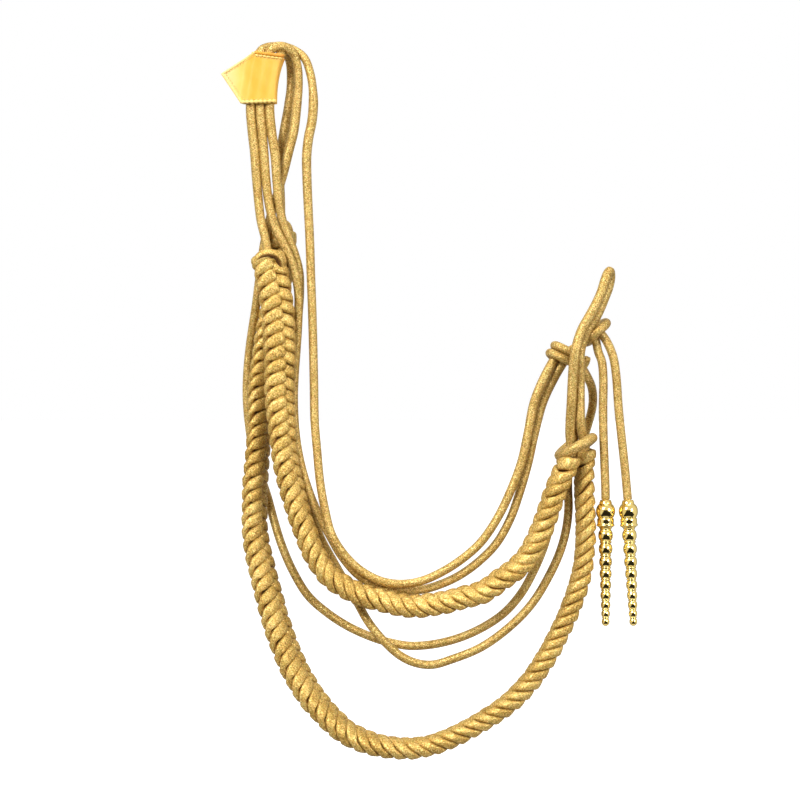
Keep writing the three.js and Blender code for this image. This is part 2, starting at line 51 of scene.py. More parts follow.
# Centre lines of the cords: (x, z, layer) with x and z in millimetres, a layer one cord's depth, + behind
ROUTES = {
    "front_cord_left": [
        (-21.1, -17.1, 0), (-23.8, -32.1, 0), (-22.6, -51.4, 0), (-21.1, -64.3, 0), (-19.7, -83.5, 0),
        (-18.2, -100.7, -0.1), (-16.4, -115, -0.3), (-13.6, -126.4, -0.5), (-12.1, -134.2, -0.7),
        (-11.4, -140.4, -0.9),
    ],
    "front_cord_middle": [
        (-14.4, -17.1, 0), (-17, -32.1, 0), (-15.7, -51.4, 0), (-14.3, -67.8, 0), (-13, -85, 0),
        (-11.1, -100.7, 0), (-7.9, -115, -0.1), (-3.1, -126.4, -0.1), (2.5, -137.1, 0),
        (7.5, -151.4, 0.2), (10.1, -165.6, 0.4), (10.2, -179.9, 0.5), (9.6, -194.2, 0.6),
        (8.6, -208.5, 0.7), (7.5, -223.5, 0.8), (6.8, -239.2, 0.85), (7.3, -257, 0.85),
        (9.3, -275.6, 0.85), (12.9, -292.7, 0.8), (17.8, -308.4, 0.8), (24.3, -324.2, 0.8),
        (31.8, -338.4, 0.8), (41.4, -354.9, 0.8), (54.3, -369.1, 0.8), (70, -377, 0.8),
        (84.3, -379.1, 0.8), (98.5, -378.4, 0.8), (112.1, -374.5, 0.8), (126.8, -367.4, 0.8),
        (141.4, -356.3, 0.8), (152.1, -344.9, 0.9), (161.7, -327.7, 0.9), (169.2, -306.3, 0.9),
        (174.6, -287, 0.9), (178.6, -268.5, 0.9), (185, -244.2, 0.9), (193.2, -226.6, 0.8),
        (199.8, -215.2, 0.5), (203.8, -208.6, 0.4),
    ],
    "front_cord_right": [
        (-7.9, -17.1, 0), (-10.3, -32.1, 0), (-8.9, -51.4, 0), (-6.4, -67.8, 0), (-5.1, -86.4, 0),
        (-3.6, -102.1, 0.1), (-1.1, -115, 0.3), (2.9, -126.4, 0.5), (7.3, -137.8, 0.85),
        (10.7, -151.4, 1.2), (11.1, -165.6, 1.4), (10, -182.1, 1.6), (8.6, -199.9, 1.7),
        (6.4, -217.8, 1.8), (5, -235.6, 1.9), (5, -253.5, 1.9), (6.4, -271.3, 1.9), (9.3, -289.2, 1.9),
        (13.6, -307, 1.9), (19.3, -324.9, 1.8), (26.4, -342.7, 1.8), (35, -358.4, 1.8),
        (43.6, -373.4, 1.8), (52.1, -387.7, 1.5), (60.3, -401.8, 1), (70.2, -414, 0.7),
        (82.4, -425.2, 0.7), (93.4, -430.6, 0.7), (105.7, -432.1, 0.7), (120.2, -428.1, 0.7),
        (141.8, -419.1, 0.8), (163.3, -403.2, 0.9), (177.8, -387.7, 1), (189.2, -369.1, 1.1),
        (197.1, -352, 1.2), (201.7, -335.6, 1.3), (203.5, -319.9, 1.4), (203.1, -305.6, 1.4),
        (203.5, -293.5, 1.35), (205.6, -284.5, 0.9), (206.8, -276, 0.7), (207.8, -257, 0.6),
        (208.5, -240.6, 0.5), (209.2, -227.5, 0.6),
    ],
    "rear_cord_left": [
        (-7.1, -11.4, 0), (-5.9, -4, 0), (-4.8, 1.2, 0.02), (-3, 4.6, 0.4), (-0.5, 6, 1), (1.9, 5, 1.65),
        (3.9, -1.4, 2.1), (4.5, -14.3, 2.3), (3.3, -30, 2.1), (0, -48.6, 2.1), (-2.9, -66.4, 2.3),
        (-3.6, -82.1, 2.5), (-2.9, -100, 2.6), (-2.6, -115, 2.5), (-2.4, -122.8, 2.4),
    ],
    "rear_cord_middle": [
        (-13.4, -11.4, 0), (-12, 1.8, 0), (-8.4, 10, 0), (-0.2, 11.4, 0.46), (5.8, 6.8, 0.8),
        (9.3, -2.9, 1), (10.3, -17.1, 1.1), (9.1, -30, 1.1), (6.8, -50, 1.1), (3.3, -64.3, 1.1),
        (-0.2, -78.5, 1.2), (-4.3, -92.8, 1.2), (-9, -108.5, 1), (-13.3, -125.7, 0.8),
        (-16.1, -142.8, 0.75), (-18.4, -160.7, 0.9), (-20.6, -177.1, 1.3), (-23.2, -192.8, 1.9),
        (-25.3, -207.1, 2.5), (-26.8, -222.8, 2.8), (-27.3, -239.2, 3.1), (-26.3, -255.6, 3.3),
        (-24.3, -271.3, 3.5), (-21.1, -285.6, 3.6), (-17.1, -298.5, 3.5), (-12.5, -312, 3.1),
        (-7.8, -328.8, 2.6), (-2, -347, 2.2), (5.8, -365, 2), (16.8, -382.9, 1.9), (30.7, -395.4, 1.9),
        (46.6, -405.6, 1.9), (64.7, -413.5, 1.9), (77, -416.9, 1.8), (90.7, -419, 1.7),
        (112.3, -416.8, 1.7), (134.8, -409.4, 1.7), (155.9, -396.6, 1.7), (169.2, -382, 1.8),
        (178.5, -365.6, 1.9), (185.6, -349.1, 2.1), (190.6, -332.7, 2.3), (196.3, -316.3, 2.7),
        (202.1, -301.3, 3.1), (208.5, -286.3, 3.5), (214.2, -272, 3.5), (218.5, -257.8, 2.7),
        (221, -245.6, 2.1), (220.3, -234.2, 1.7), (216.9, -225.8, 1.8), (212.6, -218.6, 1.9),
    ],
    "rear_cord_right": [
        (-19.7, -11.4, 0), (-18.6, 1.4, 0), (-17.2, 6.6, 0.12), (-12.8, 10.8, 0.95), (-6.5, 12.2, 1.5),
        (-0.5, 12, 1.75), (6.3, 9.3, 1.9), (14, 2.9, 1.55), (18.8, -10, 0.8), (20.7, -23.6, 0.6),
        (20.7, -35, 0.6), (19.6, -45, 0.6), (17.5, -55, 0.6), (16.1, -67.8, 0.6), (16.3, -85, 0.6),
        (17.1, -103.5, 0.6), (18.3, -128.5, 0.6), (19.1, -153.5, 0.6), (20, -177.8, 0.6),
        (20.7, -203.5, 0.6), (21.3, -232, 0.6), (21.8, -257.8, 0.5), (23.6, -279.2, 0.3),
        (25.7, -301.3, 0.1), (29.3, -321.3, -0.1), (33.9, -338.4, -0.2), (42.1, -352, -0.2),
        (54.3, -364.1, -0.2), (69.3, -372, -0.2), (84.3, -374.1, -0.2), (98.1, -371.9, -0.2),
        (112.6, -365.6, -0.2), (127.5, -356, -0.2), (140.7, -344.1, -0.1), (152.9, -326.2, 0),
        (162.2, -306.7, 0), (169.5, -287.2, 0), (174.2, -266.3, 0), (178.7, -244.2, 0),
        (186.4, -225.6, 0), (194.5, -211.2, 0.3), (198.6, -204.6, 0.4),
    ],
    "button_loop": [
        (202, -289.6, -0.85), (205, -281.5, -0.15), (204, -266, -0.6), (204.9, -244.2, -1.4),
        (205.6, -228.5, -1.6), (206.2, -218.5, -1.9), (207.6, -207.8, -2.1), (209.8, -199.2, -1.9),
        (212.6, -192, -1.6), (216.8, -184.5, -1.6), (221.8, -175.5, -1.5), (226, -166.4, -1.4),
        (228.5, -158.5, -1.2), (230.6, -153.2, -0.75), (232.5, -151, -0.2), (233.2, -154.9, 0.35),
        (231.9, -162.1, 0.5), (229.2, -169.2, 0.3), (226, -177, 0), (222, -185, -0.4),
        (216.8, -192.8, -0.76), (213.4, -200, -0.94), (211.2, -208.5, -1.2), (211, -218.5, -1.1),
        (211.1, -229.9, -0.8), (211.1, -244.2, -0.7), (211.6, -259.2, -0.6), (214, -272, 0.25),
        (216.2, -281.6, 0.8),
    ],
    "tip_cord_left": [
        (222.3, -196.3, 1.43), (223.4, -202.1, 1.08), (224.6, -208.4, 0.75), (227.1, -215.6, 0.5),
        (228.1, -228.5, 0.4), (227.9, -249.2, 0.4), (228.2, -268.5, 0.4), (228.9, -287, 0.4),
        (229.6, -306.3, 0.4), (229.7, -315, 0.4),
    ],
    "tip_cord_right": [
        (225.1, -193.7, 0.55), (228.8, -198.2, 0.58), (232.3, -204.5, 0.45), (235.3, -212.8, 0.3),
        (237.2, -224.9, 0.3), (239, -249.2, 0.3), (241.3, -271.3, 0.3), (243.6, -292.7, 0.3),
        (245.6, -315, 0.3),
    ],
    "knot_tuck": [
        (211.4, -221.3, 0.9), (213.6, -218.5, 0.65), (215.6, -215, 0.4), (216, -211.3, 0.25),
    ],
}
# Centre lines of the two plaits
PLAITS = {
    "front_plait": [
        (-11.4, -141.4, -1), (-7.9, -157.1, -1), (-5.4, -171.4, -1), (-3.9, -185.6, -1),
        (-2.9, -203.5, -1), (-2.6, -221.3, -1), (-2.9, -239.2, -1), (-0.9, -264.9, -1), (1.4, -287, -1),
        (4.3, -301.3, -1), (10, -321.3, -1), (15, -336.3, -1), (21.4, -352, -1), (31.4, -367, -1),
        (47.8, -378.4, -1), (70, -385.9, -1), (91.4, -389.8, -1), (113.5, -387.3, -1),
        (129.2, -383.1, -1), (142.8, -379.1, -1), (157.1, -369.1, -1), (170.6, -358.4, -1),
        (181.4, -340.6, -1), (188.5, -322, -1), (194.2, -306.3, -1), (201, -290.6, -1),
    ],
    "rear_plait": [
        (-2.4, -124, 2.4), (-3.2, -141.4, 2.4), (-4.8, -157.1, 2.3), (-7.9, -178.5, 2.1),
        (-10.7, -192.8, 1.9), (-13.2, -208.5, 1.7), (-16.1, -227.1, 1.4), (-17.5, -242.8, 1.2),
        (-17.8, -260.6, 1), (-18.9, -278.5, 0.8), (-20.3, -296.3, 0.7), (-21.1, -314.2, 0.7),
        (-21.3, -332, 0.7), (-19.8, -346.3, 0.7), (-16.4, -360.6, 0.7), (-12.1, -378.4, 0.7),
        (-6.4, -399.8, 0.7), (0, -417.7, 0.7), (7.9, -436.3, 0.7), (19.3, -454.8, 0.7),
        (33.9, -471.6, 0.7), (48.6, -483, 0.7), (65.7, -489.4, 0.7), (82.8, -491.9, 0.7),
        (100, -490.9, 0.7), (117.1, -485.5, 0.7), (135.7, -476.2, 0.7), (154.2, -464.8, 0.7),
        (170.6, -450.5, 0.7), (184.9, -431.3, 0.7), (197.1, -409.1, 0.7), (206.3, -388.4, 0.7),
        (212.8, -367, 0.7), (215.6, -346.3, 0.7), (215.6, -324.9, 0.7), (214.9, -307, 0.7),
        (214.9, -294.7, 0.8), (216, -283, 0.8),
    ],
}
# The slip loop at the head of each plait
SLIP_LOOPS = {
    "front_plait": [
        (-15.5, -151, -0.9), (-19.4, -147, -1.25), (-19.2, -142.2, -1.6), (-15.6, -138.6, -1.85),
        (-10.6, -137.4, -1.9), (-5.6, -138.4, -1.85), (-2.2, -142, -1.6), (-1.8, -147, -1.15),
        (-4.5, -150.5, -0.8),
    ],
    "rear_plait": [
        (-10.6, -134, 2.6), (-8.5, -127, 3.1), (-4.2, -122.2, 3.5), (0.1, -121.6, 3.5), (3, -126, 3.1),
        (3.4, -134, 2.6),
    ],
}

# How far the seam of each plait is turned from the viewer to the inside of its bend: (share, degrees)
SEAM_TURNS = {
    "front_plait": [(0, 12), (0.15, 24), (0.3, 50), (0.45, 64), (1, 66)],
    "rear_plait": [(0, 32), (0.08, 45), (0.2, 58), (0.35, 52), (0.48, 58), (0.62, 80), (1, 82)],
}
# How much wider than its usual oval a plait is along its length: (share, factor)
PLAIT_GROWTH = {
    "front_plait": [(0, 1.02), (0.2, 1), (0.3, 1), (0.5, 1.09), (1, 1.12)],
    "rear_plait": [(0, 1), (0.3, 1), (0.42, 1.11), (0.6, 1.13), (0.75, 1.13), (1, 1.1)],
}
# How much rounder a plait is where its seam faces the inside: (share, factor on its wide side)
PLAIT_ROUNDING = {
    "front_plait": [(0, 1), (0.3, 1), (0.5, 0.8), (1, 0.78)],
    "rear_plait": [(0, 1), (0.5, 1), (0.65, 0.74), (1, 0.7)],
}
# How many pitches a strand lags at each angle from the seam, for the two columns of a plait
OUTER_LAG = [(-40, -0.36), (12, 0), (55, 0.4), (100, 0.82), (145, 1.2), (190, 1.45)]
INNER_LAG = [(190, 1.4), (245, 1.25), (295, 0.85), (346, 0.36), (380, 0.2)]
LAG_MIDDLE = 0.7
# How much more the strands slant along a plait: (share, factor)
SLANT = {
    "front_plait": [(0, 1), (0.25, 1.05), (0.42, 1.2), (0.7, 1.15), (1, 1.05)],
    "rear_plait": [(0, 1), (0.25, 1.05), (0.4, 1.1), (0.56, 1.25), (0.7, 1.1), (1, 1.05)],
}
LAG_RAMP_PITCHES = 1.2

BEHIND = np.array([0.0, 1.0, 0.0])


def unit(vectors):
    return vectors / np.maximum(np.linalg.norm(vectors, axis=-1, keepdims=True), 1e-12)


def table(rows, at):
    """Straight lines between the rows of a table of (place, value)."""
    places, values = zip(*rows)
    return np.interp(at, places, values)


# The arch of cords is pressed down a little above this height
ARCH_FROM = 1 * MM
ARCH_PRESS = 0.8
CURVE_STEPS = 24


def route_points(rows):
    """Points in metres from rows of (x, z, layer), x and z in millimetres."""
    x, z, layer = np.array(rows, float).T
    z = z * MM
    z = np.where(z < ARCH_FROM, z, ARCH_FROM + (z - ARCH_FROM) * ARCH_PRESS)
    return np.stack([x * MM, layer * LAYER, z], axis=1)


def through(points):
    """A centripetal Catmull-Rom curve through the points, as many short steps."""
    points = np.array(points, float)
    points = np.vstack([2 * points[0] - points[1], points, 2 * points[-1] - points[-2]])
    out = []
    for i in range(1, len(points) - 2):
        p0, p1, p2, p3 = points[i - 1 : i + 3]
        k0 = 0.0
        k1 = k0 + math.sqrt(np.linalg.norm(p1 - p0))
        k2 = k1 + math.sqrt(np.linalg.norm(p2 - p1))
        k3 = k2 + math.sqrt(np.linalg.norm(p3 - p2))
        k = np.linspace(k1, k2, CURVE_STEPS, endpoint=False)[:, None]
        a1 = (k1 - k) / (k1 - k0) * p0 + (k - k0) / (k1 - k0) * p1
        a2 = (k2 - k) / (k2 - k1) * p1 + (k - k1) / (k2 - k1) * p2
        a3 = (k3 - k) / (k3 - k2) * p2 + (k - k2) / (k3 - k2) * p3
        b1 = (k2 - k) / (k2 - k0) * a1 + (k - k0) / (k2 - k0) * a2
        b2 = (k3 - k) / (k3 - k1) * a2 + (k - k1) / (k3 - k1) * a3
        out.append((k2 - k) / (k2 - k1) * b1 + (k - k1) / (k2 - k1) * b2)
    out.append(points[-2][None])
    return np.vstack(out)


def run_along(line):
    """How far along the line each of its points is."""
    return np.r_[0, np.cumsum(np.linalg.norm(np.diff(line, axis=0), axis=1))]


def between(at, places, vectors):
    """Straight lines between vectors that stand at places."""
    return np.stack([np.interp(at, places, values) for values in vectors.T], axis=1)


def even(points, step):
    """The same line in equal steps, and its length."""
    run = run_along(points)
    count = max(3, int(round(run[-1] / step)) + 1)
    return between(np.linspace(0, run[-1], count), run, points), run[-1]


def carried_normals(points):
    """A vector across the line at each point that turns as little as it can."""
    travel = unit(np.gradient(points, axis=0))
    across = np.zeros_like(points)
    across[0] = unit(np.cross(travel[0], [0.3, 1.0, 0.2]))
    for i in range(1, len(points)):
        kept = across[i - 1] - travel[i] * np.dot(across[i - 1], travel[i])
        across[i] = unit(kept)
    return across


def rounded_ends(line, reach):
    """1 along the middle of a strand, falling as a quarter circle to its two ends."""
    run = run_along(line)
    edge = np.clip(np.minimum(run, run[-1] - run) / reach, 0, 1)
    return np.sqrt(np.clip(1 - (1 - edge) ** 2, 0.01, 1))


class Skin:
    """A mesh in the making: rings of points swept along lines, with thread coordinates on its corners."""

    def __init__(self):
        self.points, self.faces, self.thread, self.count = [], [], [], 0

    def sweep(self, line, out, deep, wide, sides, tone=0.5, start=0.0, square=1.0):
        """A tube along the line: out is the way of its depth, deep and wide are half sizes at each ring."""
        travel = unit(np.gradient(line, axis=0))
        out = unit(out - travel * np.sum(out * travel, axis=1, keepdims=True))
        side = np.cross(travel, out)
        angle = np.arange(sides) * 2 * math.pi / sides
        up = np.sign(np.cos(angle)) * np.abs(np.cos(angle)) ** square
        over = np.sign(np.sin(angle)) * np.abs(np.sin(angle)) ** square
        deeper = out[:, None] * (up[None, :, None] * deep[:, None, None])
        rings = line[:, None] + deeper + side[:, None] * (over[None, :, None] * wide[:, None, None])
        run = start + run_along(line)
        base, count = self.count, len(line)
        self.points.append(rings.reshape(-1, 3))
        self.points.append(line[[0, -1]])
        first, last = base + count * sides, base + count * sides + 1
        self.count += count * sides + 2
        j, k = np.meshgrid(np.arange(count - 1), np.arange(sides), indexing="ij")
        j, k = j.ravel(), k.ravel()
        next_k = (k + 1) % sides
        at = base + j * sides
        self.faces.append(np.stack([at + k, at + next_k, at + sides + next_k, at + sides + k], axis=1))
        around = np.stack([k, k + 1, k + 1, k], axis=1) / sides
        along = np.stack([run[j], run[j], run[j + 1], run[j + 1]], axis=1)
        self.thread.append(np.stack([around, along, np.full_like(along, tone)], axis=2).reshape(-1, 3))
        k = np.arange(sides)
        next_k = (k + 1) % sides
        end = base + (count - 1) * sides
        self.faces.append(np.stack([np.full(sides, first), base + next_k, base + k], axis=1))
        self.faces.append(np.stack([np.full(sides, last), end + k, end + next_k], axis=1))
        for place in (run[0], run[-1]):
            cap = np.stack([k / sides, np.full(sides, place), np.full(sides, tone)], axis=1)
            self.thread.append(np.repeat(cap, 3, axis=0))

    def piece(self, name, material, slot, replaces=()):
        mesh = bpy.data.meshes.new(name)
        points = np.vstack(self.points)
        corners = np.concatenate([f.ravel() for f in self.faces])
        sizes = np.concatenate([np.full(len(f), f.shape[1]) for f in self.faces])
        starts = np.r_[0, np.cumsum(sizes)[:-1]]
        mesh.vertices.add(len(points))
        mesh.vertices.foreach_set("co", points.ravel())
        mesh.loops.add(len(corners))
        mesh.loops.foreach_set("vertex_index", corners.astype(np.int32))
        mesh.polygons.add(len(sizes))
        mesh.polygons.foreach_set("loop_start", starts.astype(np.int32))
        mesh.update(calc_edges=True)
        if self.thread:
            attribute = mesh.attributes.new("thread", "FLOAT_VECTOR", "CORNER")
            attribute.data.foreach_set("vector", np.vstack(self.thread).ravel())
        mesh.polygons.foreach_set("use_smooth", np.ones(len(sizes), bool))
        mesh.materials.append(material)
        mesh.validate()
        made = bpy.data.objects.new(name, mesh)
        bpy.context.collection.objects.link(made)
        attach(made, "root")
        if replaces:
            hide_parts(*replaces)
        return made


class Nodes:
    """The node tree of a material or world, written as one call for each node."""

    def __init__(self, owner):
        self.owner = owner
        owner.use_nodes = True
        self.tree = owner.node_tree
        self.tree.nodes.clear()

    def add(self, kind, settings=None, **inputs):
        node = self.tree.nodes.new(kind)
        for key, value in (settings or {}).items():
            setattr(node, key, value)
        for key, value in inputs.items():
            place = int(key[1:]) if key[0] == "i" and key[1:].isdigit() else key.replace("_", " ")
            if isinstance(value, bpy.types.NodeSocket):
                self.tree.links.new(value, node.inputs[place])
            else:
                node.inputs[place].default_value = value
        return node

    def place(self):
        return self.add("ShaderNodeTexCoord").outputs["Object"]

    def thread(self):
        """Where a point is round and along its strand, and the strand's tone."""
        vector = self.add("ShaderNodeAttribute", {"attribute_name": "thread"}).outputs["Vector"]
        return self.add("ShaderNodeSeparateXYZ", Vector=vector).outputs

    def math(self, operation, a, b=0.0):
        return self.add("ShaderNodeMath", {"operation": operation}, i0=a, i1=b).outputs[0]

    def centred(self, value, weight):
        """The value less a half, times its weight."""
        return self.math("MULTIPLY", self.math("SUBTRACT", value, 0.5), weight)

    def step(self, value, start_end, from_to):
        """A smooth step from one strength to another between two values."""
        return self.add(
            "ShaderNodeMapRange", {"interpolation_type": "SMOOTHSTEP"}, Value=value,
            From_Min=start_end[0], From_Max=start_end[1], To_Min=from_to[0], To_Max=from_to[1],
        ).outputs[0]

    def ramp(self, value, *stops):
        node = self.add("ShaderNodeValToRGB", Fac=value)
        while len(node.color_ramp.elements) < len(stops):
            node.color_ramp.elements.new(0.5)
        for element, (place, colour) in zip(node.color_ramp.elements, stops):
            element.position = place
            element.color = (*colour, 1)
        return node.outputs["Color"]

    def mix(self, share, a, b, blend="MIX"):
        node = self.add("ShaderNodeMix", {"data_type": "RGBA", "blend_type": blend})
        for place, value in ((0, share), (6, a), (7, b)):
            if isinstance(value, bpy.types.NodeSocket):
                self.tree.links.new(value, node.inputs[place])
            else:
                node.inputs[place].default_value = value if place == 0 else (*value, 1)
        return node.outputs[2]

    def noise(self, vector, scale, detail=2.0):
        return self.add("ShaderNodeTexNoise", Vector=vector, Scale=scale, Detail=detail).outputs["Fac"]

    def finish(self, **inputs):
        shader = self.add("ShaderNodeBsdfPrincipled", **inputs)
        self.add("ShaderNodeOutputMaterial", Surface=shader.outputs[0])
        return self.owner


def material_nodes(name):
    return Nodes(bpy.data.materials.new(name))


BRAID_STRANDS = 8
BRAID_PITCH = 7 * MM
FIBRES_PER_STRAND = 3
# Noise scales of the thread's glitter, its hue and its slow clouding
GLITTER_SCALE = 1500.0
HUE_SCALE = 700
CLOUD_SCALE = 45
# How much each of these adds to the thread's shine: height paints shade into the weave's grooves, facet
# paints glints on random cells, and grain, tone and cloud vary the tone at random
SHINE = {"height": 0.35, "facet": 0.5, "grain": 0.26, "tone": 0.12, "cloud": 0.25}
THREAD_METAL = 0.5
THREAD_ROUGHEST = 0.56
THREAD_SMOOTHEST = 0.3


def gold_thread(name, dark, middle, bright, shade_between_strands=False):
    """Metallic thread braided round a cord: pillows in two slanting directions, fine fibres and glitter.

    Where a strand lies between its neighbours, its inner side can be darkened towards near black as painted
    shade of the crevice.
    """
    n = material_nodes(name)
    around, along, tone = n.thread()
    turns = n.math("MULTIPLY", around, BRAID_STRANDS)
    run = n.math("DIVIDE", along, BRAID_PITCH / BRAID_STRANDS * 2)
    right = n.math("MULTIPLY", n.math("ADD", turns, run), math.pi)
    left = n.math("MULTIPLY", n.math("SUBTRACT", turns, run), math.pi)
    cell = n.math("MULTIPLY", n.math("SINE", right), n.math("SINE", left))
    pillow = n.math("POWER", n.math("ABSOLUTE", cell), 0.5)
    over = n.math("GREATER_THAN", cell, 0.0)
    shares = []
    for way, share in ((right, over), (left, n.math("SUBTRACT", 1.0, over))):
        ridge = n.math("ABSOLUTE", n.math("SINE", n.math("MULTIPLY", way, FIBRES_PER_STRAND)))
        shares.append(n.math("MULTIPLY", ridge, share))
    fibres = n.math("ADD", *shares)
    place = n.place()
    facets = n.add("ShaderNodeTexVoronoi", Vector=place, Scale=GLITTER_SCALE, Randomness=1.0).outputs["Color"]
    facet = n.add("ShaderNodeSeparateXYZ", Vector=facets).outputs[0]
    grain = n.noise(place, GLITTER_SCALE)
    cloud = n.noise(place, CLOUD_SCALE, 3.0)
    # Painted shade and glints: the colour is darker where the weave sinks between pillows and fibres, and
    # brighter on random facets.
    height = n.math("ADD", n.math("MULTIPLY", pillow, 0.5), n.math("MULTIPLY", fibres, 0.25))
    shine = n.math(
        "ADD",
        n.math("MULTIPLY", height, SHINE["height"]),
        n.math("ADD", n.math("MULTIPLY", facet, SHINE["facet"]), n.math("MULTIPLY", grain, SHINE["grain"])),
    )
    shine = n.math("ADD", shine, n.centred(tone, SHINE["tone"]))
    shine = n.math("ADD", shine, n.centred(cloud, SHINE["cloud"]))
    colour = n.ramp(shine, (0.22, dark), (0.54, middle), (0.9, bright))
    hue = n.ramp(n.noise(place, HUE_SCALE), (0.4, (1.0, 0.86, 0.8)), (0.6, (0.86, 1.0, 0.86)))
    colour = n.mix(0.6, colour, hue, "MULTIPLY")
    # Painted shade: the inner side of each plaited strand, facing its neighbours, is darkened towards near
    # black.
    if shade_between_strands:
        outer = n.math("ABSOLUTE", n.centred(around, 2.0))
        inner = n.math("SUBTRACT", 1.0, outer)
        crevice_shade = n.ramp(inner, (0.38, (1.0, 1.0, 1.0)), (0.5, (0.42, 0.3, 0.22)), (0.62, (0.16, 0.1, 0.07)))
        colour = n.mix(1.0, colour, crevice_shade, "MULTIPLY")
    bump = n.add(
        "ShaderNodeBump", Strength=0.6, Distance=0.3 * MM,
        Height=n.math("ADD", height, n.math("MULTIPLY", facet, 0.7)),
    )
    roughness = n.add("ShaderNodeMapRange", Value=facet, To_Min=THREAD_ROUGHEST, To_Max=THREAD_SMOOTHEST)
    return n.finish(
        Base_Color=colour, Metallic=THREAD_METAL, Roughness=roughness.outputs[0], Normal=bump.outputs[0]
    )


CORD_GOLD = gold_thread("braided_gold", (0.21, 0.11, 0.018), (0.56, 0.35, 0.08), (0.97, 0.75, 0.34))
PLAIT_GOLD = gold_thread(
    "plaited_gold", (0.27, 0.145, 0.022), (0.65, 0.4, 0.086), (1.0, 0.78, 0.33), shade_between_strands=True
)


def shaded_core():
    """The inside of a plait, seen only between its strands, coloured near black as painted shade."""
    n = material_nodes("plait_core")
    place = n.place()
    speck = n.noise(place, 900, 3.0)
    colour = n.ramp(speck, (0.3, (0.05, 0.02, 0.004)), (0.7, (0.16, 0.075, 0.014)))
    bump = n.add("ShaderNodeBump", Strength=0.4, Distance=0.4 * MM, Height=speck)
    return n.finish(Base_Color=colour, Roughness=0.7, Normal=bump.outputs[0])


SHADE_CORE = shaded_core()

CORD_SIDES = 18
CORD_STEP = 1.2 * MM
# The loose cords, some with a radius of their own all along or at the far end
LOOSE_CORDS = {
    "front_cord_left": {},
    "front_cord_middle": {"end_radius": 3.4 * MM},
    "front_cord_right": {},
    "rear_cord_left": {},
    "rear_cord_middle": {},
    "rear_cord_right": {"end_radius": 3.4 * MM},
    "button_loop": {"radius": 3.5 * MM},
    "tip_cord_left": {},
    "tip_cord_right": {},
}
# The tip on a cord, and how far it leans to the right in degrees
TIPS = {"tip_cord_left": ("tip_left", 0), "tip_cord_right": ("tip_right", 2.6)}
# Half diameter of a cord at a height: it is pressed a little wider under the tab
CORD_RADII = [
    (-0.16, 3.1 * MM), (-0.11, 3.2 * MM), (-0.06, 3.45 * MM), (-0.03, 3.45 * MM), (-0.02, 3 * MM),
    (0.003, 3 * MM), (0.008, 3.7 * MM),
]
# Share of a cord over which its far end grows to its own radius
END_GROWTH = 0.2
END_ROUND = 1.6 * MM


def round_tube(skin, points, radius=None, end_radius=None):
    line, length = even(through(points), CORD_STEP)
    size = table(CORD_RADII, line[:, 2]) if radius is None else np.full(len(line), radius)
    if end_radius:
        near_end = np.clip((np.linspace(0, 1, len(line)) - 1) / END_GROWTH + 1, 0, 1)
        size = size + (end_radius - size) * near_end
    size = size * rounded_ends(line, END_ROUND)
    skin.sweep(line, carried_normals(line), size, size, CORD_SIDES)
    return line, length


def cord_piece(name, points, **sizes):
    skin = Skin()
    line, length = round_tube(skin, points, **sizes)
    return skin.piece("braided_" + name, CORD_GOLD, "cord", [name]), line, length


# Plaits
LOBE_WIDEST = 10 * MM
LOBE_NARROWEST = 4.4 * MM
# Width of a lobe as a share of the room between it and the next
LOBE_FILL = 1.08
LOBE_DEPTH = 6.8 * MM
# How square a lobe's section is: 1 is an ellipse, and less is squarer
LOBE_SQUARE = 0.62
LOBE_STEPS = 20
LOBE_SIDES = 18
LOBE_END_ROUND = 2.8 * MM
# How far a lobe strays along the plait, in pitches, and in depth, and how its size varies
LOBE_STRAY = 0.04
LOBE_DEPTHS = (-0.1 * MM, 0.25 * MM)
LOBE_SIZES = (0.97, 1.03)
# How much closer the rings of a lobe stand at its two ends
RING_CROWDING = 0.11
CORE_INSET = 5 * MM
CORE_STEP = 4 * MM
CORE_TAPER = 6 * MM
CORE_SIDES = 14
HOOD_SIZE = {"front_plait": 0.92, "rear_plait": 0.95}
HOOD_LIFT = {"front_plait": -0.4 * MM, "rear_plait": 5.6 * MM}
HOOD_RADIUS = 3.15 * MM
PLAIT_STEP = 0.5 * MM
# How far the strands run past the two ends of a plait's centre line
PLAIT_OVERRUN = {"front_plait": (3 * MM, 9 * MM), "rear_plait": (3 * MM, 5 * MM)}


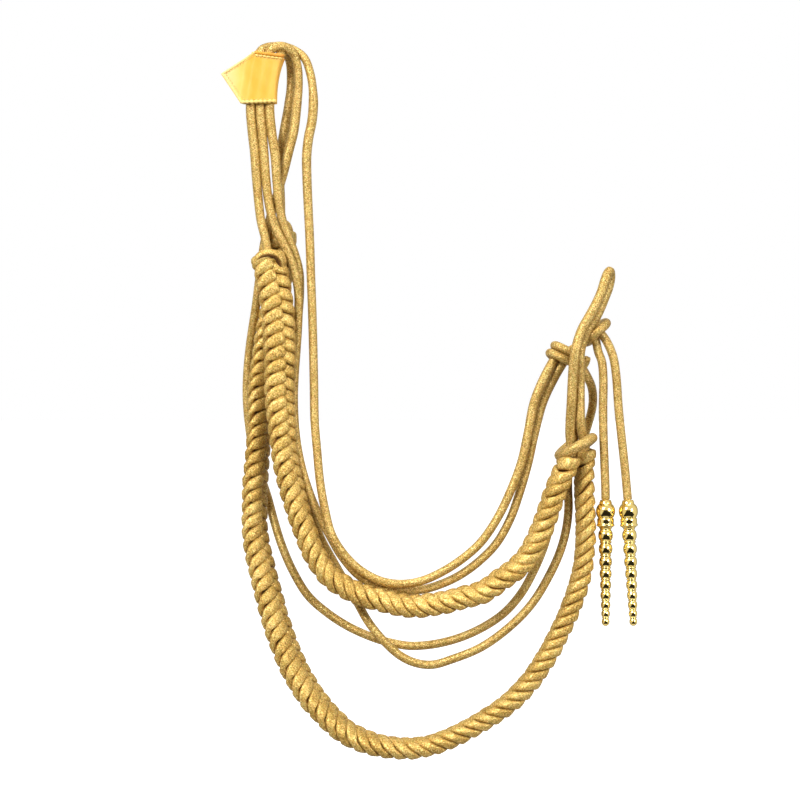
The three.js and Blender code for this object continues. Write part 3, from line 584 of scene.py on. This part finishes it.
class Plait:
    """The two slanting columns of strands of a plait, placed by angle from its seam and pitches along it."""

    def __init__(self, name):
        middle = through(route_points(PLAITS[name]))
        head, tail = PLAIT_OVERRUN[name]
        first = middle[0] + unit(middle[0] - middle[4]) * head
        last = middle[-1] + unit(middle[-1] - middle[-5]) * tail
        self.line, self.length = even(np.vstack([first, middle, last]), PLAIT_STEP)
        self.travel = unit(np.gradient(self.line, axis=0))
        self.pitches = round(self.length / PLAIT_PITCH)
        self.pitch = self.length / self.pitches
        self.name = name

    def ways(self, travel, share):
        """The ways to the seam and to the side of the oval, across the way of travel."""
        inside = unit(np.cross(travel, BEHIND))
        back = unit(np.cross(inside, travel))
        turn = np.radians(table(SEAM_TURNS[self.name], share))[:, None]
        return inside * np.sin(turn) - back * np.cos(turn), -inside * np.cos(turn) - back * np.sin(turn)

    def surface(self, along, angle, lag, inset):
        """Points inset below the oval surface, and the way out there."""
        ramp = np.minimum(1, np.minimum(along, self.pitches - along) / LAG_RAMP_PITCHES)
        slant = table(SLANT[self.name], along / self.pitches)
        share = np.clip((along + (lag - LAG_MIDDLE) * ramp * slant) / self.pitches, 0, 1)
        at = share * (len(self.line) - 1)
        whole = np.arange(len(self.line))
        place = between(at, whole, self.line)
        seam, side = self.ways(unit(between(at, whole, self.travel)), share)
        c, s = np.cos(np.radians(angle))[:, None], np.sin(np.radians(angle))[:, None]
        grown = table(PLAIT_GROWTH[self.name], share)[:, None]
        half_deep = grown * PLAIT_THICKNESS / 2
        half_wide = grown * table(PLAIT_ROUNDING[self.name], share)[:, None] * PLAIT_WIDTH / 2
        out = unit(seam * c / half_deep + side * s / half_wide)
        return place + seam * half_deep * c + side * half_wide * s - out * inset[:, None], out


# The two columns of strands: angles from the seam where a strand starts and ends, how deep it starts,
# and its width there as a share of the usual one
COLUMNS = [
    {"start": -12, "end": 176, "lags": OUTER_LAG, "start_dip": 0, "start_fill": 1},
    {"start": 364, "end": 204, "lags": INNER_LAG, "start_dip": 3.2 * MM, "start_fill": 0.72},
]
END_DIP = 2.5 * MM
DIP_REACH = 0.26
DIP_CURVE = 1.5


def plait_piece(name):
    plait = Plait(name)
    skin, core = Skin(), Skin()
    even_share = np.linspace(0, 1, LOBE_STEPS)
    share = even_share - RING_CROWDING * np.sin(2 * math.pi * even_share)
    near_start = np.clip(1 - share / DIP_REACH, 0, 1) ** DIP_CURVE
    near_end = np.clip(1 - (1 - share) / DIP_REACH, 0, 1) ** DIP_CURVE
    draw = random.Random(name)
    for i in range(plait.pitches):
        for column in COLUMNS:
            angle = column["start"] + (column["end"] - column["start"]) * share
            along = np.full(LOBE_STEPS, i + 0.5) + draw.uniform(-LOBE_STRAY, LOBE_STRAY)
            dip = near_start * column["start_dip"] + near_end * END_DIP
            inset = LOBE_DEPTH / 2 + dip + draw.uniform(*LOBE_DEPTHS)
            line, out = plait.surface(along, angle, table(column["lags"], angle), inset)
            size = rounded_ends(line, LOBE_END_ROUND) * draw.uniform(*LOBE_SIZES)
            other = along + (1 if i + 1 < plait.pitches else -1)
            gap = plait.surface(other, angle, table(column["lags"], angle), inset)[0] - line
            way = unit(np.gradient(line, axis=0))
            room = np.linalg.norm(gap - way * np.sum(gap * way, axis=1, keepdims=True), axis=1)
            wide = np.clip(LOBE_FILL * room, LOBE_NARROWEST, LOBE_WIDEST)
            wide = wide * (1 - near_start * (1 - column["start_fill"]))
            skin.sweep(
                line, out, size * LOBE_DEPTH / 2, size * wide / 2, LOBE_SIDES,
                draw.random(), draw.random(), LOBE_SQUARE,
            )
    hood = route_points(SLIP_LOOPS[name])
    hood = hood.mean(axis=0) + (hood - hood.mean(axis=0)) * HOOD_SIZE[name] + [0, 0, HOOD_LIFT[name]]
    round_tube(skin, hood, radius=HOOD_RADIUS)
    core_line, _ = even(plait.line, CORE_STEP)
    at = np.linspace(0, 1, len(core_line))
    seam, _ = plait.ways(unit(np.gradient(core_line, axis=0)), at)
    ends = np.sqrt(np.clip(np.minimum(at, 1 - at) * plait.length / CORE_TAPER, 0.05, 1))
    core.sweep(
        core_line, seam, (PLAIT_THICKNESS / 2 - CORE_INSET) * ends,
        (table(PLAIT_ROUNDING[name], at) * PLAIT_WIDTH / 2 - CORE_INSET) * ends, CORE_SIDES,
    )
    # The core's near-black colour is painted shade in the gaps between strands.
    core.piece(name + "_core", SHADE_CORE, "plait")
    return skin.piece(name + "_strands", PLAIT_GOLD, "plait", [name])


# The windings of the knot: a cord wound round a bundle that leans in the plane of the object
WINDINGS = {
    "knot_coil": {
        "centre": (0.1999, 0.4 * LAYER, -0.21), "lean": 57, "turns": 2,
        "across": 2.6 * MM + WINDING_REACH, "deep": 1.7 * MM + WINDING_REACH, "radius": 3.1 * MM,
    },
    "tip_cord_wrap": {
        "centre": (0.2231, 0.98 * LAYER, -0.1944), "lean": -56, "turns": 1,
        "across": 3.3 * MM + WINDING_REACH, "deep": 0.55 * LAYER + WINDING_REACH, "radius": 3.5 * MM,
    },
    "plait_end_wrap": {
        "centre": (0.2085, 0.1 * LAYER, -0.2762), "lean": -55, "turns": 1,
        "across": -6.9 * MM - WINDING_REACH, "deep": 1.42 * LAYER + WINDING_REACH, "radius": 3.7 * MM,
    },
}
WINDING_STEPS = 10
WINDING_START = math.radians(90)


def winding_points(row):
    lean, turns = math.radians(row["lean"]), row["turns"]
    axis = np.array([math.cos(lean), 0, math.sin(lean)])
    sideways = np.array([axis[2], 0, -axis[0]])
    turned = np.linspace(0, turns, round(turns * WINDING_STEPS) + 1)[:, None]
    angle = WINDING_START + turned * 2 * math.pi
    return (
        np.array(row["centre"])
        + axis * (turned - turns / 2) * WINDING_REACH
        + sideways * row["across"] * np.cos(angle)
        + BEHIND * row["deep"] * np.sin(angle)
    )


# Camera: the photograph's frame is 800 x 800, 0.714 mm a pixel at the front of the object
FRAME_WIDTH = 0.5712
FRAME_CENTRE = (0.0828, -0.2428)
CAMERA_DISTANCE = 3.0
SENSOR = 36


def make_camera():
    data = bpy.data.cameras.new("camera")
    data.sensor_width = SENSOR
    data.lens = SENSOR * CAMERA_DISTANCE / FRAME_WIDTH
    camera = bpy.data.objects.new("camera", data)
    camera.location = (FRAME_CENTRE[0], -CAMERA_DISTANCE, FRAME_CENTRE[1])
    camera.rotation_euler = (math.radians(90), 0, 0)
    bpy.context.collection.objects.link(camera)
    bpy.context.scene.camera = camera


FLOOR_Z = -0.56
FLOOR_REACH = 60
FLOOR_GREY = (0.6, 0.6, 0.6, 1)
FLOOR_GLOW = 0.8
WHITE = (1, 1, 1, 1)


def make_floor():
    """A pale floor that doesn't colour the object from below."""
    mesh = bpy.data.meshes.new("floor")
    corners = [(-1, -1), (1, -1), (1, 1), (-1, 1)]
    mesh.from_pydata([(x * FLOOR_REACH, y * FLOOR_REACH, FLOOR_Z) for x, y in corners], [], [(0, 1, 2, 3)])
    mesh.materials.append(material_nodes("pale_floor").finish(
        Base_Color=FLOOR_GREY, Roughness=1.0, Emission_Color=WHITE, Emission_Strength=FLOOR_GLOW,
        Specular_IOR_Level=0.0,
    ))
    floor = bpy.data.objects.new("floor", mesh)
    floor.visible_diffuse = False
    floor.visible_glossy = False
    bpy.context.collection.objects.link(floor)


LIGHTS = [
    {"name": "key", "place": (-1.1, -2.2, 1.2), "size": 0.9, "watts": 80},
    {"name": "fill", "place": (1.9, -1.9, 0.3), "size": 0.9, "watts": 36},
    {"name": "top", "place": (0.3, 0.2, 1.9), "size": 1.1, "watts": 17},
]
AIM = (0.08, 0, -0.25)
# Strength of the room: beside the object, behind it, and in the dark lower part of its front
ROOM_LIGHT = 0.82
ROOM_BEHIND = 0.42
ROOM_DARK = 0.02
ROOM_COLOUR = (1, 0.98, 0.95, 1)
# The dark part as directions: from and to heights, half width at its top, and how it widens downwards
DARK_TOP = 0.22
DARK_BOTTOM = -0.8
DARK_HALF_WIDTH = 0.6
DARK_ASIDE = 0.1
DARK_WIDENING = 0.5
# Half widths of its soft edges, and the two places where the room turns from front to back
SOFT = 0.05
SOFT_TOP = 0.04
FRONT_EDGE = (-0.2, -0.1)
BACK_EDGE = (0.2, 0.7)


def make_lights():
    for row in LIGHTS:
        data = bpy.data.lights.new(row["name"], "AREA")
        data.size = row["size"]
        data.energy = row["watts"]
        light = bpy.data.objects.new(row["name"], data)
        light.location = row["place"]
        way = Vector(AIM) - Vector(row["place"])
        light.rotation_euler = way.to_track_quat("-Z", "Y").to_euler()
        bpy.context.collection.objects.link(light)
    make_room()
    bpy.context.scene.view_settings.view_transform = "Standard"


def make_room():
    """The light from all round, with a dark part low in front, and a white ground for the camera."""
    n = Nodes(bpy.data.worlds.new("studio"))
    x, y, z = n.add("ShaderNodeSeparateXYZ", i0=n.add("ShaderNodeTexCoord").outputs["Generated"]).outputs
    aside = n.math("ABSOLUTE", n.math("SUBTRACT", x, DARK_ASIDE))
    beyond = n.math("ADD", aside, n.math("MULTIPLY", z, DARK_WIDENING))
    dark = n.step(beyond, (DARK_HALF_WIDTH - SOFT, DARK_HALF_WIDTH + SOFT), (1, 0))
    for share in (
        n.step(z, (DARK_TOP - SOFT_TOP, DARK_TOP + SOFT_TOP), (1, 0)),
        n.step(z, (DARK_BOTTOM - SOFT, DARK_BOTTOM + SOFT), (0, 1)),
        n.step(y, FRONT_EDGE, (1, 0)),
    ):
        dark = n.math("MULTIPLY", dark, share)
    behind = n.step(y, BACK_EDGE, (ROOM_LIGHT, ROOM_BEHIND))
    strength = n.step(dark, (0, 1), (behind, ROOM_DARK))
    room = n.add("ShaderNodeBackground", Color=ROOM_COLOUR, Strength=strength)
    ground = n.add("ShaderNodeBackground", Color=WHITE, Strength=1)
    seen = n.add("ShaderNodeLightPath").outputs["Is Camera Ray"]
    mix = n.add("ShaderNodeMixShader", i0=seen, i1=room.outputs[0], i2=ground.outputs[0])
    n.add("ShaderNodeOutputWorld", Surface=mix.outputs[0])
    bpy.context.scene.world = n.owner


# The metal tips
TIP_LENGTH = 89 * MM
TIP_BALL = 13.9 * MM
TIP_BEAD_TOP = 10.6 * MM
TIP_BEAD_BOTTOM = 5.7 * MM
TIP_BEADS = 9
TIP_BEADS_START = 0.225
TIP_SIDES = 48
# Rows of (share of the length, share of the ball's diameter) from the collar down
TIP_HEAD = [
    (-0.013, 0.225), (-0.0125, 0.26), (-0.009, 0.29), (0, 0.3), (0.004, 0.318), (0.014, 0.325),
    (0.02, 0.335), (0.024, 0.37), (0.032, 0.415),
    (0.042, 0.452), (0.055, 0.482), (0.07, 0.498), (0.084, 0.5), (0.098, 0.488), (0.11, 0.465),
    (0.121, 0.43), (0.129, 0.395), (0.132, 0.39), (0.135, 0.41), (0.139, 0.43), (0.144, 0.438),
    (0.16, 0.436), (0.176, 0.428), (0.179, 0.43), (0.182, 0.45), (0.1875, 0.462), (0.193, 0.462),
    (0.1975, 0.45), (0.2, 0.42), (0.205, 0.375), (0.212, 0.33), (0.22, 0.3),
]
# The same for a bead, as shares of its height and diameter, the ring below it and the end of the last one
BEAD = [(0.03, 0.74), (0.1, 0.86), (0.22, 0.96), (0.4, 1), (0.56, 0.98), (0.7, 0.89), (0.8, 0.76)]
BEAD_RING = [(0.83, 0.72), (0.85, 0.8), (0.9, 0.83), (0.95, 0.8), (0.97, 0.72)]
BEAD_END = [(0.92, 0.5), (0.985, 0.22)]
# How far the cord's end stands inside the collar
TIP_OVERLAP = 0.35 * MM


def tip_profile():
    """Rows of (distance down, radius)."""
    rows = [(share * TIP_LENGTH, size * TIP_BALL) for share, size in TIP_HEAD]
    sizes = np.linspace(TIP_BEAD_TOP, TIP_BEAD_BOTTOM, TIP_BEADS)
    start = TIP_BEADS_START * TIP_LENGTH
    for i, size in enumerate(sizes):
        height = (TIP_LENGTH - TIP_BEADS_START * TIP_LENGTH) * size / sizes.sum()
        shape = BEAD + (BEAD_RING if i + 1 < TIP_BEADS else BEAD_END)
        rows += [(start + height * share, radius * size / 2) for share, radius in shape]
        start += height
    return rows


def tip_piece(node, cord, lean, material):
    top = route_points(ROUTES[cord])[-1] - [0, 0, TIP_OVERLAP]
    down = np.array([math.sin(math.radians(lean)), 0, -math.cos(math.radians(lean))])
    rows = np.array(tip_profile())
    out = np.repeat(unit(np.cross(down, BEHIND))[None], len(rows), axis=0)
    skin = Skin()
    skin.sweep(top + down * rows[:, :1], out, rows[:, 1], rows[:, 1], TIP_SIDES)
    return skin.piece(node + "_turned", material, "gilt", [node])


SMUDGE_SCALE = 140
WEAR_SCALE = 1400


def polished_gilt():
    n = material_nodes("polished_gilt")
    place = n.place()
    smudge = n.noise(place, SMUDGE_SCALE, 3.0)
    fine = n.noise(place, WEAR_SCALE)
    colour = n.ramp(smudge, (0.3, (0.93, 0.68, 0.2)), (0.7, (1.0, 0.79, 0.3)))
    roughness = n.add("ShaderNodeMapRange", Value=smudge, To_Min=0.06, To_Max=0.16)
    bump = n.add("ShaderNodeBump", Strength=0.08, Distance=0.1 * MM, Height=fine)
    return n.finish(Base_Color=colour, Metallic=1.0, Roughness=roughness.outputs[0], Normal=bump.outputs[0])


# The cloth tab: a sleeve round three cords with a pointed flap on its left
TAB_BOTTOM = (-0.017, -0.0314)
TAB_HEIGHT = 37 * MM
TAB_DROP = 5.4 * MM
TAB_LEAN = 6.4 * MM
TAB_WALL = 1.3 * MM
TAB_HALF_WIDE = 12.4 * MM
TAB_HALF_DEEP = 5.05 * MM
# The right edge: where it starts below, how far it leans out, and how late
TAB_RIGHT = -4.9 * MM
TAB_RIGHT_LEAN = 5.6 * MM
TAB_RIGHT_POWER = 2.4
TAB_SIDES = 72
TAB_ROWS = 24
# How square the two ends and the two faces of the sleeve's section are: 1 is an ellipse
TAB_END_SQUARE = 0.55
TAB_FACE_SQUARE = 0.45
# How much the faces sink between the three cords, and the share of the width where they do
TAB_SINK = 0.07
TAB_SINK_REACH = 0.8
# How far the rounded rims of the sleeve stand past its two ends
TAB_RIM = 0.105 * TAB_WALL


def tab_section(half_wide, half_deep):
    """A flat oval with a slight swell over each of the three cords."""
    angle = np.arange(TAB_SIDES) * 2 * math.pi / TAB_SIDES
    c, s = np.cos(angle), np.sin(angle)
    x = np.sign(c) * np.abs(c) ** TAB_END_SQUARE
    y = np.sign(s) * np.abs(s) ** TAB_FACE_SQUARE
    sunk = (0.5 - 0.5 * np.cos(3 * math.pi * (x + 1))) * (np.abs(x) < TAB_SINK_REACH)
    return x * half_wide, y * half_deep * (1 - TAB_SINK * sunk)


def tab_right(share):
    return TAB_RIGHT + TAB_RIGHT_LEAN * np.clip(share, 0, 1) ** TAB_RIGHT_POWER


def tab_ring(share, half_wide, half_deep):
    """A ring of the sleeve at a share of its height, lower on its right than on its left."""
    x, y = tab_section(half_wide, half_deep)
    middle = TAB_BOTTOM[0] + TAB_LEAN * share
    x = np.where(x > 0, x * (tab_right(share) - middle) / TAB_HALF_WIDE, x)
    drop = TAB_DROP * (x + TAB_HALF_WIDE) / (2 * TAB_HALF_WIDE)
    return np.stack([middle + x, y, TAB_BOTTOM[1] + share * (TAB_HEIGHT - drop)], axis=1)


def sleeve_piece(material):
    """The sleeve, with an outside and an inside wall and rounded rims."""
    shares = np.linspace(0, 1, TAB_ROWS)
    outside = [(share, TAB_HALF_WIDE, TAB_HALF_DEEP) for share in shares]
    inside = [(share, TAB_HALF_WIDE - TAB_WALL, TAB_HALF_DEEP - TAB_WALL) for share in shares[::-1]]
    wall_middle = (TAB_HALF_WIDE - TAB_WALL / 2, TAB_HALF_DEEP - TAB_WALL / 2)
    rim = TAB_RIM / TAB_HEIGHT
    rows = outside + [(1 + rim, *wall_middle)] + inside + [(-rim, *wall_middle)]
    skin = Skin()
    skin.points.append(np.vstack([tab_ring(*row) for row in rows]))
    j, k = np.meshgrid(np.arange(len(rows)), np.arange(TAB_SIDES), indexing="ij")
    here, above = j.ravel() * TAB_SIDES, (j.ravel() + 1) % len(rows) * TAB_SIDES
    k, next_k = k.ravel(), (k.ravel() + 1) % TAB_SIDES
    skin.faces.append(np.stack([here + next_k, above + next_k, above + k, here + k], axis=1))
    return skin.piece("tab_sleeve", material, "satin", ["shoulder_tab"])


# The satin's weave, its clouding, and where its colour runs from left to right
WARP_PITCH = 0.35 * MM
WEFT_PITCH = 0.5 * MM
SATIN_CLOUD_SCALE = 90
SATIN_CLOUDING = 0.12
SATIN_LEFT = -45 * MM
SATIN_RIGHT = 1 * MM
WEAVE_SHADE = 0.03


def satin(name, *stops):
    """Woven satin whose colour changes across the tab: stops are (place from left to right, colour)."""
    n = material_nodes(name)
    place = n.place()
    x, _, z = n.add("ShaderNodeSeparateXYZ", Vector=place).outputs
    warp = n.math("SINE", n.math("MULTIPLY", x, 2 * math.pi / WARP_PITCH))
    weft = n.math("SINE", n.math("MULTIPLY", z, 2 * math.pi / WEFT_PITCH))
    weave = n.math("MAXIMUM", warp, weft)
    cloud = n.noise(place, SATIN_CLOUD_SCALE, 3.0)
    share = n.add("ShaderNodeMapRange", Value=x, From_Min=SATIN_LEFT, From_Max=SATIN_RIGHT).outputs[0]
    colour = n.ramp(n.math("ADD", share, n.centred(cloud, SATIN_CLOUDING)), *stops)
    shade = n.math("ADD", 1 - WEAVE_SHADE, n.math("MULTIPLY", weave, WEAVE_SHADE))
    grey = n.add("ShaderNodeCombineColor", i0=shade, i1=shade, i2=shade).outputs[0]
    colour = n.mix(1.0, colour, grey, "MULTIPLY")
    bump = n.add("ShaderNodeBump", Strength=0.25, Distance=0.12 * MM, Height=weave)
    folds = n.add("ShaderNodeBump", Strength=0.5, Distance=0.8 * MM, Height=cloud, Normal=bump.outputs[0])
    return n.finish(
        Base_Color=colour, Roughness=0.46, Sheen_Weight=0.12, Sheen_Roughness=0.3, Normal=folds.outputs[0]
    )


# The tab's front panel: corners as (x, z), and how far each line of cloth stands before the cords
PANEL = {
    "bottom_left": (-0.0308, -0.0314), "bottom_right": (-0.0049, -0.0306), "top_right": (0.0004, 0.0034),
    "top_left": (-0.0206, 0.006), "tip": (-0.0452, -0.01),
}
PANEL_TIP_SHARE = 0.56
PANEL_ACROSS = 70
PANEL_UP = 44
PANEL_THICK = 0.9 * MM
PANEL_FRONT = -5.9 * MM
FLAP_FRONT = -1.9 * MM
FLAP_RAMP = 7 * MM
# Share of the ramp that lies left of the sleeve
FLAP_RAMP_SHARE = 0.55
# The panel's right side bends back over this width, by this depth
BEND_WIDTH = 2.2 * MM
BEND_DEPTH = 2.6 * MM
# Heights of its swell over the cords, of its ripples and of the waves in its upper and lower edge
SWELL = 0.25 * MM
RIPPLE = 0.18 * MM
EDGE_WAVE = 0.35 * MM
# Radians of the ripples for a metre across, for the height in each direction, and at the start
RIPPLE_ACROSS = 420
RIPPLE_SLANT = 5
RIPPLE_UP = 9
RIPPLE_START = 1


def panel_left(share):
    """A point of the panel's left edge at a share of its height."""
    shares = (0, PANEL_TIP_SHARE, 1)
    corners = zip(*(PANEL[name] for name in ("bottom_left", "tip", "top_left")))
    return [np.interp(share, shares, places) for places in corners]


def panel_right(share):
    """A point of the panel's right edge at a share of its height."""
    z = PANEL["bottom_right"][1] * (1 - share) + PANEL["top_right"][1] * share
    return [tab_right(share), z]


def panel_depth(x, share):
    """How far back the panel's face lies at x, at a share of its height."""
    middle = TAB_BOTTOM[0] + TAB_LEAN * share
    rise = np.clip((x - (middle - TAB_HALF_WIDE - FLAP_RAMP * FLAP_RAMP_SHARE)) / FLAP_RAMP, 0, 1)
    rise = rise * rise * (3 - 2 * rise)
    across = (x - middle) / TAB_HALF_WIDE
    swell = SWELL * np.cos(3 * math.pi * across) * np.clip(1.2 - np.abs(across), 0, 1)
    bend = BEND_DEPTH * np.clip((x - (tab_right(share) - BEND_WIDTH)) / BEND_WIDTH, 0, 1) ** 2
    ripple = RIPPLE * np.sin(x * RIPPLE_ACROSS + share * RIPPLE_SLANT)
    ripple = ripple * np.sin(share * RIPPLE_UP + RIPPLE_START)
    return FLAP_FRONT + (PANEL_FRONT - FLAP_FRONT - swell) * rise + bend + ripple


def panel_piece(material):
    skin = Skin()
    front = np.zeros((PANEL_UP, PANEL_ACROSS, 3))
    k = np.linspace(0, 1, PANEL_ACROSS)
    for j, share in enumerate(np.linspace(0, 1, PANEL_UP)):
        x, z = [left + (right - left) * k for left, right in zip(panel_left(share), panel_right(share))]
        z = z + EDGE_WAVE * np.sin(k * math.pi * 5) * (1 - 2 * share) ** 2
        front[j] = np.stack([x, panel_depth(x, share), z], axis=1)
    grid_solid(skin, front, PANEL_THICK)
    return skin.piece("tab_front_panel", material, "satin")


def grid_solid(skin, front, thick):
    """A closed sheet whose front face is a grid of points and whose back lies behind it."""
    up, across = front.shape[:2]
    back = front + BEHIND * thick
    base, side = skin.count, up * across
    skin.points += [front.reshape(-1, 3), back.reshape(-1, 3)]
    skin.count += 2 * side
    j, k = np.meshgrid(np.arange(up - 1), np.arange(across - 1), indexing="ij")
    at = base + (j * across + k).ravel()
    quad = np.stack([at, at + 1, at + across + 1, at + across], axis=1)
    skin.faces += [quad, quad[:, ::-1] + side]
    rim = np.r_[
        np.arange(across - 1), np.arange(up - 1) * across + across - 1,
        (up - 1) * across + np.arange(across - 1, 0, -1), np.arange(up - 1, 0, -1) * across,
    ]
    ahead = np.roll(rim, -1)
    skin.faces.append(base + np.stack([rim, rim + side, ahead + side, ahead], axis=1))


def on_panel(points, proud):
    """Points (x, z) of the panel's face, proud of it."""
    points = np.array(points, float)
    share = np.clip((points[:, 1] - TAB_BOTTOM[1]) / TAB_HEIGHT, 0, 1)
    return np.stack([points[:, 0], panel_depth(points[:, 0], share) - proud, points[:, 1]], axis=1)


def between_points(a, b, count):
    k = np.linspace(0, 1, count)[:, None]
    return np.array(a) * (1 - k) + np.array(b) * k


HEM_POINTS = 90
HEM_SIDES = 16
HEM_TAPER = 0.035
HEM_SUNK = 0.4


def hem_piece(name, start, end, width, proud, pinch, puffs, material):
    """A folded band along an edge of the panel, pinched by its stitches."""
    line = on_panel(between_points(start, end, HEM_POINTS), proud * MM * HEM_SUNK)
    run = np.linspace(0, 1, len(line))
    puff = 1 - pinch * np.abs(np.cos(run * math.pi * puffs)) ** 4
    edge = np.clip(np.minimum(run, 1 - run) / HEM_TAPER, 0, 1)
    size = puff * MM * np.sqrt(np.clip(1 - (1 - edge) ** 2, 0.03, 1))
    skin = Skin()
    skin.sweep(line, np.repeat(-BEHIND[None], len(line), axis=0), size * proud, size * width / 2, HEM_SIDES)
    return skin.piece(name, material, "satin")


STITCH_STEP = 2.3 * MM
STITCH_RADIUS = 0.28 * MM
STITCH_PROUD = 0.15 * MM
STITCH_POINTS = 9
STITCH_SIDES = 8
# Half the length of a stitch as a share of the step, and how far its thread's pattern is shifted
STITCH_REACH = 0.33
STITCH_SHIFT = 10 * MM


def stitch_row(skin, start, end, tilt):
    """Short stitches of thread along a line on the panel."""
    length = np.linalg.norm(end - start)
    way = (end - start) / length
    cross = np.array([-way[1], way[0]])
    count = round(length / STITCH_STEP)
    size = np.sqrt(np.clip(1 - np.linspace(-1, 1, STITCH_POINTS) ** 2, 0.04, 1)) * STITCH_RADIUS
    out = np.repeat(-BEHIND[None], STITCH_POINTS, axis=0)
    for i in range(count):
        middle = start + way * (i + 0.5) * length / count
        reach = (way + cross * tilt) * STITCH_STEP * STITCH_REACH
        line = on_panel(between_points(middle - reach, middle + reach, STITCH_POINTS), STITCH_PROUD)
        skin.sweep(line, out, size, size, STITCH_SIDES, start=i * STITCH_SHIFT)


def sewing_thread():
    n = material_nodes("sewing_thread")
    around, along, _ = n.thread()
    twist = n.math("ADD", n.math("MULTIPLY", around, 3.0), n.math("MULTIPLY", along, 2400.0))
    ply = n.math("ABSOLUTE", n.math("SINE", n.math("MULTIPLY", twist, math.pi)))
    # Painted shade: the thread is darker in the dips between its plies and lighter on their crests.
    colour = n.ramp(ply, (0.1, (0.42, 0.22, 0.04)), (0.8, (0.8, 0.52, 0.14)))
    bump = n.add("ShaderNodeBump", Strength=0.5, Distance=0.08 * MM, Height=ply)
    return n.finish(Base_Color=colour, Roughness=0.55, Sheen_Weight=0.3, Normal=bump.outputs[0])


make_camera()
make_floor()
make_lights()

GILT = polished_gilt()
tips = {cord: tip_piece(tip, cord, lean, GILT) for cord, (tip, lean) in TIPS.items()}
for name, sizes in LOOSE_CORDS.items():
    cord, line, length = cord_piece(name, route_points(ROUTES[name]), **sizes)
cord_piece("knot_tuck", route_points(ROUTES["knot_tuck"]))
for name, row in WINDINGS.items():
    cord_piece(name, winding_points(row), radius=row["radius"])
for name in PLAITS:
    plait_piece(name)

# The deepest orange at the right end paints shade where the panel and sleeve bend back; the other stops
# change the colour from left to right.
SATIN = satin(
    "yellow_satin", (0.04, (0.86, 0.66, 0.3)), (0.3, (0.84, 0.52, 0.1)), (0.5, (0.8, 0.4, 0.025)),
    (0.8, (0.8, 0.43, 0.045)), (0.93, (0.78, 0.42, 0.06)), (1, (0.66, 0.28, 0.02)),
)
HEM = satin("pale_satin", (0.1, (0.82, 0.64, 0.24)), (0.6, (0.84, 0.62, 0.18)), (1, (0.8, 0.55, 0.14)))
# A darker copy of the satin for the top hem: painted shade on the turned-over fold.
FOLD_SHADE = satin("folded_satin_painted_shade", (0.4, (0.72, 0.36, 0.03)), (1, (0.64, 0.25, 0.015)))
sleeve_piece(SATIN)
panel_piece(SATIN)
low_left, low_right, top_right, top_left, flap_tip = (np.array(place) for place in PANEL.values())
# A millimetre up and a millimetre to the right on the panel
UP = np.array([0, 1 * MM])
IN = np.array([1 * MM, 0])
# Hems: start, end, width and height in millimetres, how far it is pinched, number of puffs, cloth
HEMS = [
    ("tab_bottom_hem", low_left + UP, low_right + 0.9 * UP - 0.4 * IN, 2.8, 1.4, 0.5, 8, HEM),
    ("tab_top_hem", top_left - UP, top_right - UP - 0.5 * IN, 2.4, 1, 0.12, 6, FOLD_SHADE),
    ("tab_top_edging", top_left - 2.9 * UP, top_right - 2.9 * UP - 1.4 * IN, 1.6, 0.8, 0.6, 7, HEM),
    ("tab_flap_hem_low", low_left + IN + 0.5 * UP, flap_tip + 1.4 * IN, 1.7, 0.4, 0.15, 9, HEM),
    ("tab_flap_hem_high", flap_tip + 1.4 * IN, top_left - 0.9 * UP, 1.7, 0.4, 0.15, 9, HEM),
]
for row in HEMS:
    hem_piece(*row)
# Rows of stitches: start, end and tilt
SEAMS = [
    (low_left + 2.7 * UP + 1.4 * IN, low_right + 2.7 * UP - 0.8 * IN, 0.3),
    (top_left - 4 * UP + 0.8 * IN, top_right - 4 * UP - 2 * IN, 0.3),
    (low_left + 2.9 * IN + 2.2 * UP, flap_tip + 3.6 * IN, 0),
    (flap_tip + 3.6 * IN, top_left - 2.9 * UP, 0),
]
sewn = Skin()
for start, end, tilt in SEAMS:
    stitch_row(sewn, start, end, tilt)
sewn.piece("tab_stitches", sewing_thread(), "satin")
